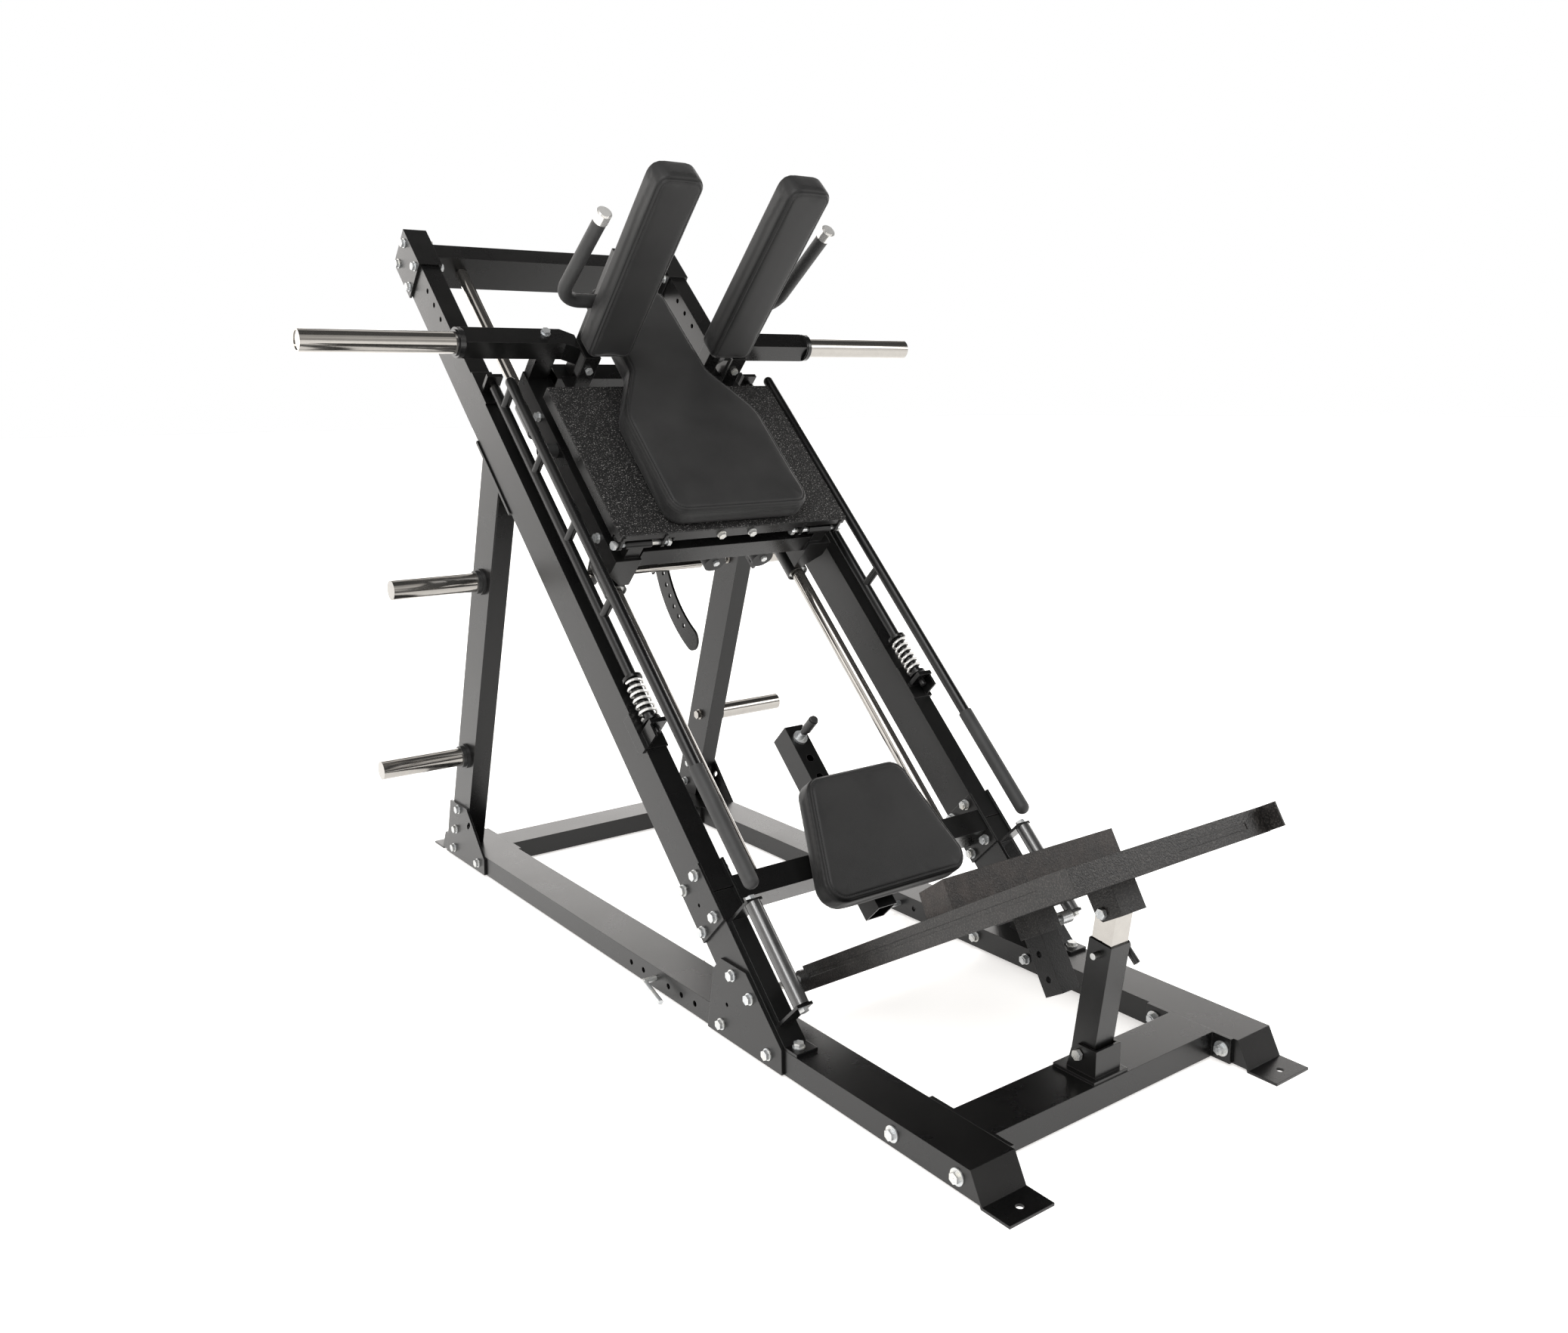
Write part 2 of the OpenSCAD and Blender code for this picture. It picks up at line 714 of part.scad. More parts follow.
// handle frame: origin in line with the stub out of the post, Z up the grip
module on_handle() { translate([0, 1771, 313]) rotate([9.8, 0, 0]) children(); }
// bent handle: out from the post, round an elbow, then up
module handles() {
  color([0.13, 0.13, 0.13]) on_slope() both() on_handle() {
    x_cyl(203, bend_x, 0, 0, handle_d);
    translate([bend_x, 0, bend_r]) rotate([90, 0, 0]) rotate([0, 0, -90])
      rotate_extrude(angle = 90, $fn = 64) translate([bend_r, 0]) circle(d = handle_d);
    z_cyl(bend_r, handle_top, bend_x+bend_r, 0, handle_d);
  }
}
module handle_caps() {
  color(chrome) on_slope() both() on_handle() {
    z_cyl(handle_top, handle_top+24, bend_x+bend_r, 0, handle_d+3);
    z_cyl(handle_top+24, handle_top+27, bend_x+bend_r, 0, handle_d-5);
  }
}
module sled_bolts() {
  arm_top_n = horn_n + horn_half;
  color(zinc) on_slope() both() {
    // press plate hinge bolts
    x_cyl(176, 312, hinge_s, hinge_n, bolt_d);
    hex_x(312, hinge_s, hinge_n, 8);
    hex_x(170, hinge_s, hinge_n, 9);
    // lower shoulder bar bolts
    y_cyl(1683, 1712, shoulder_bolt_x, shoulder_bolt_n, 10);
    hex_y(shoulder_bolt_x, 1690, shoulder_bolt_n, 7, small_hex_d, dir = -1);
    hex_y(shoulder_bolt_x, 1696, shoulder_bolt_n, 8, small_hex_d);
    // bolts on top of the horn arms
    z_cyl(arm_top_n, arm_top_n+washer_t, 278, 1806, washer_d);
    hex_z(278, 1806, arm_top_n+washer_t, head_h);
    // bolts on the side beams' outer faces
    for (s = [1290, 1670]) {
      x_cyl(304, 304+washer_t, s, 44, washer_d);
      hex_x(304+washer_t, s, 44, 8);
    }
  }
  // bumper bolts
  color(zinc) on_slope() for (x = bumper_xs) hex_y(x, 1210, 16, 6, 17, dir = -1);
}
module sled_bumpers() {
  color([0.08, 0.08, 0.08]) on_slope() {
    // under the front bar
    for (x = bumper_xs) difference() {
      y_cyl(1210, 1236, x, 12, 56);
      box(x-40, x+40, 1200, 1250, 34, 60);
    }
    // side buffers that meet the catches' rungs
    both() x_cyl(304, 345, 1560, 44, 34);
  }
}
module quadrant_rod() {
  color(chrome) on_slope() x_cyl(-340, 72, quad_rod_s, quad_rod_n, 20);
}

// ---------- press plate, tilts on the sled ----------
module press_plate() {
  half = plate_w/2;
  color(base_paint) on_slope() {
    // folded tray, open underneath, notched at the hinge ears
    difference() {
      box(-half, half, plate_low, plate_high, 112, 140);
      box(-half+4, half-4, plate_low+4, plate_high-4, 111, 136);
      both() box(170, 330, 1200, 1236, 100, 124);
      both() y_cyl(1205, 1220, 43, 123, 10.4);
    }
    // hinge ears
    both() for (x = [191, 300]) difference() {
      union() {
        box(x, x+7, 1208, 1240, hinge_n, 136);
        x_cyl(x, x+7, hinge_s, hinge_n, 24);
      }
      x_cyl(x-1, x+8, hinge_s, hinge_n, pivot_hole);
    }
    // ribs underneath
    for (x = [-120, 114]) box(x, x+6, 1240, plate_high-11, 112, 136);
  }
}
module press_plate_grit() {
  color(catch_paint) on_slope() box(-plate_w/2, plate_w/2, plate_low, plate_high, 140, 145);
}
// curved strip about the hinge, with a round tip and an arm up to the plate
module quadrant() {
  tip_angle = -13.6;
  arm_angle = 44;
  tip_r = (quad_out - quad_in)/2;
  tip_centre = about_hinge((quad_in + quad_out)/2, tip_angle);
  angles = [for (i = [0 : 16]) tip_angle + (arm_angle-tip_angle)*i/16];
  outer = [for (a = angles) about_hinge(quad_out, a)];
  arm = [[1540, 0], [1600, 112], [1520, 112], [1470, 0]];
  inner = [for (i = [16 : -1 : 0]) about_hinge(quad_in, angles[i])];
  tip = [for (a = [12 : 12 : 168]) tip_centre + tip_r*[-sin(tip_angle+a), cos(tip_angle+a)]];
  color(sled_paint) on_slope() difference() {
    profile(-18, -12, concat(outer, arm, inner, tip));
    for (i = [0 : 8]) x_cyl(-20, -10, quad_hole(i)[0], quad_hole(i)[1], 12.2);
  }
}
// left half, lower end to upper end: x, s
back_outline = [[-150, 1225], [-182, 1238], [-192, 1268], [-190, 1535], [-178, 1575],
                [-121, 1655], [-109.5, 1684], [-108, 1712], [-107, 1935], [-85, 1962]];
module back_pad() {
  color(rubber) on_slope() translate([0, 0, 198-back_t]) linear_extrude(back_t)
    polygon(symmetric(back_outline));
}
module back_pad_bracket() {
  color(bracket_paint) on_slope() {
    box(-55, 55, plate_high, 1900, 141, 147);
    both() box(30, 55, plate_high, plate_high+6, 112, 141);
    // bolts through the press plate's front skirt
    both() {
      translate([43, plate_low, 123]) rotate([90, 0, 0]) cylinder(d = 22, h = washer_t);
      hex_y(43, plate_low-washer_t, 123, 7, small_hex_d, dir = -1);
      y_cyl(1208, 1225, 43, 123, 10);
      hex_y(43, plate_low+4, 123, 8, small_hex_d);
    }
  }
}
// drawn back at rest, slides towards +X into a hole of the quadrant
module quadrant_pin() {
  color(pin_steel) on_slope() {
    x_cyl(-70, -19, pin_place[0], pin_place[1], 12);
    x_cyl(-92, -64, pin_place[0], pin_place[1], 26);
  }
}

// ---------- safety catches ----------
module catch() {
  on_slope() {
    y_cyl(812, 1782, catch_x, catch_n, catch_d);
    y_cyl(776, 1812, catch_x, catch_n, 16);
    y_cyl(646, 1728, catch_x, catch_top_n, catch_d);
    translate([catch_x, 1728, catch_top_n]) sphere(d = catch_d);
    for (s = [1715, 1507, 1300, 1085]) z_cyl(catch_n, catch_top_n, catch_x, s, rung_d);
    // spring collar and seat
    y_cyl(912, 919, catch_x, catch_n, 44);
    y_cyl(806, 812, catch_x, catch_n, 40);
  }
}
module catch_right() { color(catch_paint) catch(); }
module catch_left() { color(catch_paint) left() catch(); }
module catch_grip() {
  on_slope() {
    y_cyl(384, 646, catch_x, catch_top_n, 32);
    translate([catch_x, 384, catch_top_n]) sphere(d = 32);
  }
}
module catch_grips_right() { color([0.15, 0.15, 0.15]) catch_grip(); }
module catch_grips_left() { color([0.15, 0.15, 0.15]) left() catch_grip(); }

// helical spring as a closed surface; steps per turn, sides round the wire
module helix(radius, wire_r, height, turns, steps, sides) {
  count = turns*steps;
  points = [for (i = [0 : count]) for (j = [0 : sides-1])
    let (turn = 360*i/steps, roll = 360*j/sides, r = radius + wire_r*cos(roll))
    [r*cos(turn), r*sin(turn), height*i/count + wire_r*sin(roll)]];
  skin = [for (i = [0 : count-1]) for (j = [0 : sides-1])
    let (a = i*sides, b = a + sides, next = (j+1)%sides)
    [a+j, a+next, b+next, b+j]];
  start_cap = [for (j = [sides-1 : -1 : 0]) j];
  end_cap = [for (j = [0 : sides-1]) count*sides + j];
  polyhedron(points = points, faces = concat(skin, [start_cap, end_cap]), convexity = 10);
}
module catch_springs() {
  color(chrome) both() on_slope() translate([catch_x, 816.2, catch_n]) rotate([-90, 0, 0])
    helix(radius = 18.2, wire_r = 3.1, height = 91.6, turns = 6, steps = 16, sides = 6);
}

// ---------- foot plate ----------
module foot_side_skirt(half, low) {
  difference() {
    profile(half-4, half,
      [[14, low+6], [-6, low-3], [-803, low+1], [-803, deck_top], [-28, deck_top],
       [-28, 14], [14, 14]]);
    // shallow groove in the outer face
    box(half-1.2, half+1, -728, -40, -3, 5);
  }
}
module foot_plate() {
  half = foot_w/2;
  low = deck_top - foot_d;       // lower edge of the skirts
  color([0.15, 0.14, 0.14]) on_foot() difference() {
    union() {
      // deck and front skirt
      box(-half, half, -772, -28, deck_bottom, deck_top);
      box(-half+4, half-4, -772, -768, low, deck_bottom);
      both() {
        foot_side_skirt(half, low);
        // return flange
        box(half-28, half-4, -728, -60, low, low+4);
        // bearing boss on the pivot bolt
        x_cyl(half-14, half-4, 0, 0, 34);
      }
      // ribs under the deck, lengthwise and across
      both() box(-226, -222, -760, -40, 0, deck_bottom);
      box(-half+4, half-4, -300, -295, -8, deck_bottom);
      // pivot bracket of the post
      both() profile(25.6, 31.6,
        [[-588, deck_bottom], [-592, -66], [-602, -78], [-650, -78], [-650, deck_bottom]]);
      box(-26, 26, -650, -645, -78, deck_bottom);
      // sleeve of the calf block's post
      tube(-28, 28, block_y-28, block_y+28, -66, deck_bottom, along_z, 4);
    }
    x_cyl(-half-5, half+5, 0, 0, 16);
    box(-24, 24, block_y-24, block_y+24, -70, 30);
    // pin hole in the sleeve
    x_cyl(20, 40, block_y, block_pin_z, pivot_hole);
    // bolt of the post's upper pivot
    x_cyl(-40, 40, upper_y, upper_z, 12.4);
    // shallow slot in the front skirt
    box(20, 210, -774, -770.6, -8, 4);
  }
}
module foot_plate_bolt() {
  on_foot() {
    x_cyl(-36, 36, upper_y, upper_z, bolt_d);
    for (x = [-39.6, 31.6]) hex_x(x, upper_y, upper_z, 8);
  }
}
module calf_block() {
  color([0.2, 0.16, 0.15]) on_foot() {
    difference() {
      profile(-block_w/2, block_w/2, [[-388, 23], [-466, 23], [-466, 79], [-392, 72]]);
      profile(-block_w/2+4, block_w/2-4, [[-392, 27], [-462, 27], [-462, 74.5], [-396, 68]]);
    }
    difference() {
      tube(-23, 23, block_y-23, block_y+23, -176, 25, along_z);
      for (i = [0 : 2]) x_cyl(-30, 30, block_y, block_pin_z - i*block_pitch, 12.4);
    }
  }
}
// drawn back at rest, slides towards -X into a hole of the block's post
module calf_block_pin() {
  color(pin_steel) on_foot() {
    x_cyl(24, 60, block_y, block_pin_z, 12);
    x_cyl(56, 84, block_y, block_pin_z, 24);
  }
}

// ---------- telescoping post ----------
module post_outer() {
  color(rail_paint) on_post() {
    difference() {
      tube(-25, 25, -25, 25, -22, 222, along_z, 2.9);
      for (z = [0, post_pin_z]) x_cyl(-30, 30, 0, z, pivot_hole);
    }
    // pivot bolt, turns in the cheeks
    x_cyl(-37, 37, 0, 0, bolt_d);
    for (x = [-43, 35]) hex_x(x, 0, 0, 8);
  }
}
module post_inner() {
  color(chrome) on_post() difference() {
    tube(-22, 22, -22, 22, 60, 300, along_z);
    // long slot that the through pin runs in
    x_slot(-30, 30, 0, 135, 0, 218, 13);
    x_cyl(-30, 30, 0, post_l, 15.6);
  }
}
module post_pin() {
  color(pin_steel) on_post() {
    x_cyl(-40, 45, 0, post_pin_z, 12);
    x_cyl(40, 50, 0, post_pin_z, 20);
    translate([46, 0, post_pin_z]) rotate([125, 0, 0]) cylinder(d = 13, h = 38);
  }
}

// ---------- receiver and hitch pins ----------
module receiver_pin() {
  // each: bottom n, top n, diameter
  steps = [[-60, 14, 12], [0, 10, 17], [10, 46, 22], [46, 51, 18]];
  color(rubber) on_slope()
    for (step = steps) z_cyl(step[0], step[1], 0, receiver_pin_s, step[2]);
}
// sleeve that guides the receiver's pull pin
module receiver_bushing() {
  color([0.75, 0.75, 0.75]) on_slope() difference() {
    union() {
      z_cyl(-26, -20, 0, receiver_pin_s, 33);
      z_cyl(-20, -4, 0, receiver_pin_s, 18);
    }
    z_cyl(-30, 0, 0, receiver_pin_s, pivot_hole);
  }
}
// L-shaped hitch pin in a base rail hole
module hitch_pin() {
  bend = [half_w+28, hitch_y, base_mid];
  x_cyl(base_in-25, bend[0], hitch_y, base_mid, 12);
  translate(bend) sphere(d = 13);
  translate(bend) rotate([109, 0, 0]) cylinder(d = 12, h = 70);
}
module hitch_pin_right() { color([0.75, 0.75, 0.72]) hitch_pin(); }
module hitch_pin_left() { color([0.75, 0.75, 0.72]) left() hitch_pin(); }

base_rail_left();
base_rail_right();
front_crossmember();
rear_crossmember();
upright_left();
upright_right();
rear_gussets();
front_gussets();
storage_pegs();
peg_collars();
main_rail_left();
main_rail_right();
lower_rail_left();
lower_rail_right();
splice_plates();
top_crossmember();
guide_rods();
seat_crossmember();
receiver_tube();
seat_pad();
seat_bracket();
hand_grips();
hand_grip_brackets();
catch_brackets();
frame_bolts();
sled_frame();
bearing_housings();
linear_bearings();
horn_arms();
horn_sleeves();
horn_collars();
shoulder_pads();
shoulder_brackets();
handles();
handle_caps();
sled_bolts();
sled_bumpers();
quadrant_rod();
press_plate();
press_plate_grit();
quadrant();
back_pad();
back_pad_bracket();
quadrant_pin();
catch_left();
catch_right();
catch_grips_left();
catch_grips_right();
catch_springs();
foot_plate();
foot_plate_bolt();
calf_block();
calf_block_pin();
post_outer();
post_inner();
post_pin();
receiver_pin();
receiver_bushing();
hitch_pin_left();
hitch_pin_right();
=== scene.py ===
# Looks, upholstery and studio for an exercise machine with a sled on a 45-degree slope.
#
# Row frame, in metres: +X across the machine, +Z up, floor at z = 0. The slope starts on the
# floor at y = -0.625 and climbs towards +Y. Slope frame, in mm: x across, s up the slope,
# n square to it (positive above).
import json, math
import bpy, bmesh
import numpy as np
from mathutils import Vector, Matrix
from mathutils.bvhtree import BVHTree


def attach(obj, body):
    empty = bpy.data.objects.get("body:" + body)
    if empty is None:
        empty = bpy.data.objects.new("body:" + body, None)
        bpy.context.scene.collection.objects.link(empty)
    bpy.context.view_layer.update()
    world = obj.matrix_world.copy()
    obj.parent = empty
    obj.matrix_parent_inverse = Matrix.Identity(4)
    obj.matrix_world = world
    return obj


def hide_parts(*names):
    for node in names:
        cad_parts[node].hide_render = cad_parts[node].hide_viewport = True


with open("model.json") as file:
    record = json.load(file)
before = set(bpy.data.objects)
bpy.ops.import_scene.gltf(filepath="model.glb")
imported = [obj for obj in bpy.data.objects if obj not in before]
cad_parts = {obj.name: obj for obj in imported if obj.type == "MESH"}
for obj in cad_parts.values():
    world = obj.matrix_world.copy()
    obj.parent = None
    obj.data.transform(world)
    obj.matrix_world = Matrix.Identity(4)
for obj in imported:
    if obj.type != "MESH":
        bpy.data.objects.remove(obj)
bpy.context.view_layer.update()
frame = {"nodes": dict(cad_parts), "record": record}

MM = 0.001
SLOPE_DEG = 45
SLOPE_FOOT_Y = -625      # mm
COS_SLOPE = math.sqrt(0.5)      # sine and cosine alike at 45 degrees


# ------------------------------------------------------------ slope frame
def slope_yz(s, n):
    """Row-frame y and z, in metres, of a slope-frame place in mm."""
    return (SLOPE_FOOT_Y + (s - n) * COS_SLOPE) / 1000.0, (s + n) * COS_SLOPE / 1000.0


def slope_point(x, s, n):
    return Vector((x / 1000.0, *slope_yz(s, n)))


def slope_matrix(x, s, n, tilt=0.0):
    """Takes local metres (across, up the slope, square to it) into the row frame."""
    matrix = Matrix.Rotation(math.radians(SLOPE_DEG + tilt), 4, "X")
    matrix.translation = slope_point(x, s, n)
    return matrix


# ------------------------------------------------------------ shader graphs
def rgba(colour):
    """A grey level or an RGB triple as an opaque colour."""
    if isinstance(colour, (int, float)):
        colour = (colour,) * 3
    return (*colour, 1)


def grey_range(base, low, high):
    """Ramp stops from base * low at 0.3 to base * high at 0.7."""
    return (0.3, base * low), (0.7, base * high)


class Graph:
    """Adds nodes to a node tree. Any value may be a plain one or another node's output."""

    def __init__(self, tree):
        self.tree = tree

    def node(self, kind, **settings):
        node = self.tree.nodes.new("ShaderNode" + kind)
        for key, value in settings.items():
            setattr(node, key, value)
        return node

    def feed(self, node, values):
        """Link or set inputs, keyed by name or index; None leaves one alone."""
        for key, value in values.items():
            if isinstance(value, bpy.types.NodeSocket):
                self.tree.links.new(value, node.inputs[key])
            elif value is not None:
                node.inputs[key].default_value = value

    def math(self, operation, a, b, clamp=False):
        node = self.node("Math", operation=operation, use_clamp=clamp)
        self.feed(node, {0: a, 1: b})
        return node.outputs[0]

    def scale_add(self, value, gain, base, clamp=False):
        return self.math("ADD", self.math("MULTIPLY", value, gain), base, clamp)

    def beyond(self, value, limit, sharpness):
        """0 up to the limit, climbing to 1 over a distance of 1 / sharpness."""
        return self.math("MULTIPLY", self.math("SUBTRACT", value, limit), sharpness, True)

    def dot(self, a, b):
        node = self.node("VectorMath", operation="DOT_PRODUCT")
        self.feed(node, {0: a, 1: b})
        return node.outputs["Value"]

    def ramp(self, factor, *stops):
        """Colour ramp; each stop is (position, grey level or RGB)."""
        node = self.node("ValToRGB")
        elements = node.color_ramp.elements
        while len(elements) < len(stops):
            elements.new(0.5)
        for element, (position, colour) in zip(elements, stops):
            element.position = position
            element.color = rgba(colour)
        self.feed(node, {"Fac": factor})
        return node.outputs["Color"]

    def mix(self, factor, first, second):
        node = self.node("MixRGB")
        colours = [c if isinstance(c, bpy.types.NodeSocket) else rgba(c) for c in (first, second)]
        self.feed(node, {"Fac": factor, "Color1": colours[0], "Color2": colours[1]})
        return node.outputs[0]

    def mix_shader(self, factor, first, second):
        node = self.node("MixShader")
        self.feed(node, {0: factor, 1: first, 2: second})
        return node.outputs[0]

    def bump(self, height, strength, distance, under=None):
        node = self.node("Bump")
        self.feed(node, {"Strength": strength, "Distance": distance,
                         "Height": height, "Normal": under})
        return node.outputs["Normal"]


class Coat(Graph):
    """Graph of a material, with textures placed by object coordinates."""

    def __init__(self, material):
        super().__init__(material.node_tree)
        self.material = material
        self.shader = self.tree.nodes["Principled BSDF"]
        mapping = self.node("Mapping")
        self.feed(mapping, {"Vector": self.node("TexCoord").outputs["Object"]})
        self.position = mapping.outputs["Vector"]

    def noise(self, scale, detail, roughness=0.55):
        node = self.node("TexNoise")
        self.feed(node, {"Scale": scale, "Detail": detail, "Roughness": roughness,
                         "Vector": self.position})
        return node.outputs["Fac"]

    def cells(self, scale):
        node = self.node("TexVoronoi")
        self.feed(node, {"Scale": scale, "Vector": self.position})
        return node.outputs["Distance"]

    def bevel(self, radius):
        """Normal rounded over edges."""
        node = self.node("Bevel", samples=4)
        self.feed(node, {"Radius": radius})
        return node.outputs[0]

    def edge_mask(self, bevel):
        """0 on flat faces, towards 1 where the bevel normal leaves the true one."""
        true_normal = self.node("NewGeometry").outputs["True Normal"]
        return self.math("SUBTRACT", 1.0, self.dot(bevel, true_normal), True)

    def finish(self, **inputs):
        """Feed the main shader: colour, roughness, normal, metallic, ior."""
        names = {"colour": "Base Color", "roughness": "Roughness", "normal": "Normal",
                 "metallic": "Metallic", "ior": "IOR"}
        self.feed(self.shader, {names[key]: value for key, value in inputs.items()})
        return self.material


def new_coat(name):
    material = bpy.data.materials.new(name)
    material.use_nodes = True
    return Coat(material)


# ------------------------------------------------------------ materials
def powder_paint(name):
    """Black powder coat with a painted highlight: its colour turns paler along edges."""
    base = 0.0035
    coat = new_coat(name)
    broad = coat.noise(scale=7, detail=4)
    colour = coat.ramp(broad, (0.3, (base * 0.8, base * 0.8, base * 0.83)),
                       (0.75, (base * 1.35, base * 1.32, base * 1.28)))
    bevel = coat.bevel(radius=0.0016)
    # painted highlight: the colour is mixed paler where the bevel rounds an edge
    painted_edge_highlight = coat.math("MULTIPLY", coat.edge_mask(bevel), 1.4, clamp=True)
    fine = coat.bump(coat.noise(scale=900, detail=2), strength=0.22, distance=0.0004, under=bevel)
    return coat.finish(
        colour=coat.mix(painted_edge_highlight, colour, (0.035, 0.034, 0.032)),
        roughness=coat.scale_add(broad, gain=0.10, base=0.28 - 0.05),
        ior=1.37,
        normal=coat.bump(coat.noise(scale=380, detail=3), strength=0.07, distance=0.0006,
                         under=fine))


def chrome(name, roughness=0.07, tint=(0.34, 0.326, 0.306), metallic=0.93):
    coat = new_coat(name)
    return coat.finish(
        metallic=metallic,
        colour=coat.ramp(coat.noise(scale=60, detail=4),
                         (0.3, tuple(c * 0.93 for c in tint)), (0.7, tint)),
        roughness=coat.scale_add(coat.noise(scale=25, detail=3), gain=0.07,
                                 base=roughness - 0.02),
        normal=coat.bump(coat.noise(scale=700, detail=2), strength=0.03, distance=0.0002))


def zinc_inputs(coat, stops, bevel=None):
    """Shader inputs of zinc plate: blotchy colour and spangled gloss."""
    return dict(
        metallic=0.72,
        colour=coat.ramp(coat.noise(scale=40, detail=4), *stops),
        roughness=coat.scale_add(coat.cells(scale=260), gain=0.25, base=0.22),
        normal=coat.bump(coat.noise(scale=500, detail=2), strength=0.10, distance=0.0003,
                         under=bevel))


def zinc(name):
    coat = new_coat(name)
    stops = ((0.25, (0.40, 0.42, 0.44)), (0.5, (0.52, 0.53, 0.53)), (0.8, (0.58, 0.56, 0.50)))
    return coat.finish(**zinc_inputs(coat, stops, coat.bevel(radius=0.0008)))


def grit(name):
    """Black grip surface with pale sparkling grains."""
    coat = new_coat(name)
    spark = coat.ramp(coat.noise(scale=330, detail=2, roughness=0.5), (0.57, 0.0), (0.70, 1.0))
    coarse = coat.bump(coat.cells(scale=520), strength=0.8, distance=0.0011)
    return coat.finish(
        ior=1.36,
        colour=coat.mix(spark, 0.0012, (0.17, 0.165, 0.16)),
        roughness=0.62,
        normal=coat.bump(coat.noise(scale=1100, detail=2), strength=0.5, distance=0.0006,
                         under=coarse))


def mottled(name, level, warmth, roughness):
    """Cloudy, grained coat; warmth drains the green and blue."""
    def tone(grey):
        red = grey * level
        return red, red * (1 - 0.22 * warmth), red * (1 - 0.32 * warmth)

    coat = new_coat(name)
    clouds = coat.noise(scale=26, detail=5, roughness=0.65)
    spots = coat.ramp(coat.noise(scale=330, detail=2, roughness=0.5), (0.50, 0.0), (0.66, 1.0))
    colour = coat.ramp(clouds, (0.32, tone(0.004)), (0.52, tone(0.013)), (0.75, tone(0.030)))
    grain = coat.bump(coat.noise(scale=520, detail=2), strength=0.45, distance=0.0006,
                      under=coat.bevel(radius=0.0015))
    return coat.finish(
        ior=1.39,
        colour=coat.mix(coat.math("MULTIPLY", spots, 0.40), colour, (0.075, 0.068, 0.062)),
        roughness=coat.scale_add(clouds, gain=0.2, base=roughness),
        normal=coat.bump(coat.cells(scale=300), strength=0.4, distance=0.0008, under=grain))


def foam(name):
    coat = new_coat(name)
    pores = coat.bump(coat.cells(scale=1500), strength=0.25, distance=0.0003)
    return coat.finish(
        colour=coat.ramp(coat.noise(scale=18, detail=4), *grey_range(0.018, 0.8, 1.3)),
        roughness=0.60,
        normal=coat.bump(coat.noise(scale=120, detail=3), strength=0.12, distance=0.0008,
                         under=pores))


def rubber(name, base, roughness, ior=1.45):
    coat = new_coat(name)
    patches = coat.noise(scale=30, detail=4)
    return coat.finish(
        colour=coat.ramp(patches, *grey_range(base, 0.8, 1.4)),
        roughness=coat.scale_add(patches, gain=0.2, base=roughness - 0.1),
        ior=ior,
        normal=coat.bump(coat.noise(scale=800, detail=2), strength=0.2, distance=0.0003))


def vinyl(name):
    """Pebbled upholstery vinyl, pressed in where the seam attribute nears 0, with painted shade
    there: its colour darkens along the seams.
    """
    base = 0.0138
    coat = new_coat(name)
    broad = coat.noise(scale=9, detail=4)
    seam = coat.node("Attribute", attribute_name="seam").outputs["Fac"]
    plain = coat.ramp(broad, (0.3, (base * 0.82, base * 0.81, base * 0.82)),
                      (0.72, (base * 1.25, base * 1.23, base * 1.22)))
    coat.feed(coat.shader, {"Sheen Weight": 0.05, "Sheen Roughness": 0.4})
    grain = coat.bump(coat.cells(scale=900), strength=0.30, distance=0.0004)
    pebbles = coat.bump(coat.noise(scale=420, detail=3), strength=0.22, distance=0.0005,
                        under=grain)
    return coat.finish(
        # painted shade: the colour darkens to 0.18 of the base along the seam grooves
        colour=coat.mix(seam, base * 0.18, plain),
        roughness=coat.scale_add(broad, gain=0.12, base=0.52 - 0.06),
        ior=1.36,
        normal=coat.bump(seam, strength=0.9, distance=0.0016, under=pebbles))


def sewing_thread(name):
    coat = new_coat(name)
    return coat.finish(
        colour=coat.ramp(coat.noise(scale=900, detail=2), (0.3, 0.012), (0.7, 0.035)),
        roughness=0.7,
        normal=coat.bump(coat.noise(scale=2400, detail=1), strength=0.3, distance=0.0002))


def dipped_pin(name, dip_x):
    """Zinc pin whose part beyond x = dip_x is dipped in black vinyl."""
    coat = new_coat(name)
    split = coat.node("SeparateXYZ")
    coat.feed(split, {0: coat.position})
    dipped = coat.beyond(split.outputs[0], limit=dip_x, sharpness=4000.0)
    metal = coat.ramp(coat.noise(scale=40, detail=4),
                      (0.25, (0.36, 0.38, 0.40)), (0.8, (0.50, 0.49, 0.46)))
    black = coat.ramp(coat.noise(scale=60, detail=3), (0.3, 0.010), (0.7, 0.018))
    return coat.finish(
        colour=coat.mix(dipped, metal, black),
        metallic=coat.math("SUBTRACT", 1.0, dipped),
        roughness=coat.scale_add(dipped, gain=0.12, base=0.30),
        normal=coat.bump(coat.noise(scale=600, detail=2), strength=0.15, distance=0.0003))


def calf_block_coat(name):
    """Brownish grained coat on the block, plain black on its post below."""
    lean = math.radians(30.8)      # of the block's up axis, from +Z towards +Y
    up_y, up_z = math.sin(lean), math.cos(lean)
    y, z = slope_yz(s=214, n=-50)
    above = 0.020      # the change of coat, this far above that point
    coat = Coat(mottled(name, level=1.5, warmth=1.0, roughness=0.34))
    height = coat.dot(coat.position, (0, up_y, up_z))
    on_block = coat.beyond(height, limit=y * up_y + z * up_z + above, sharpness=900.0)
    brown = coat.shader.inputs["Base Color"].links[0].from_socket
    return coat.finish(colour=coat.mix(on_block, (0.0035, 0.0035, 0.0036), brown))


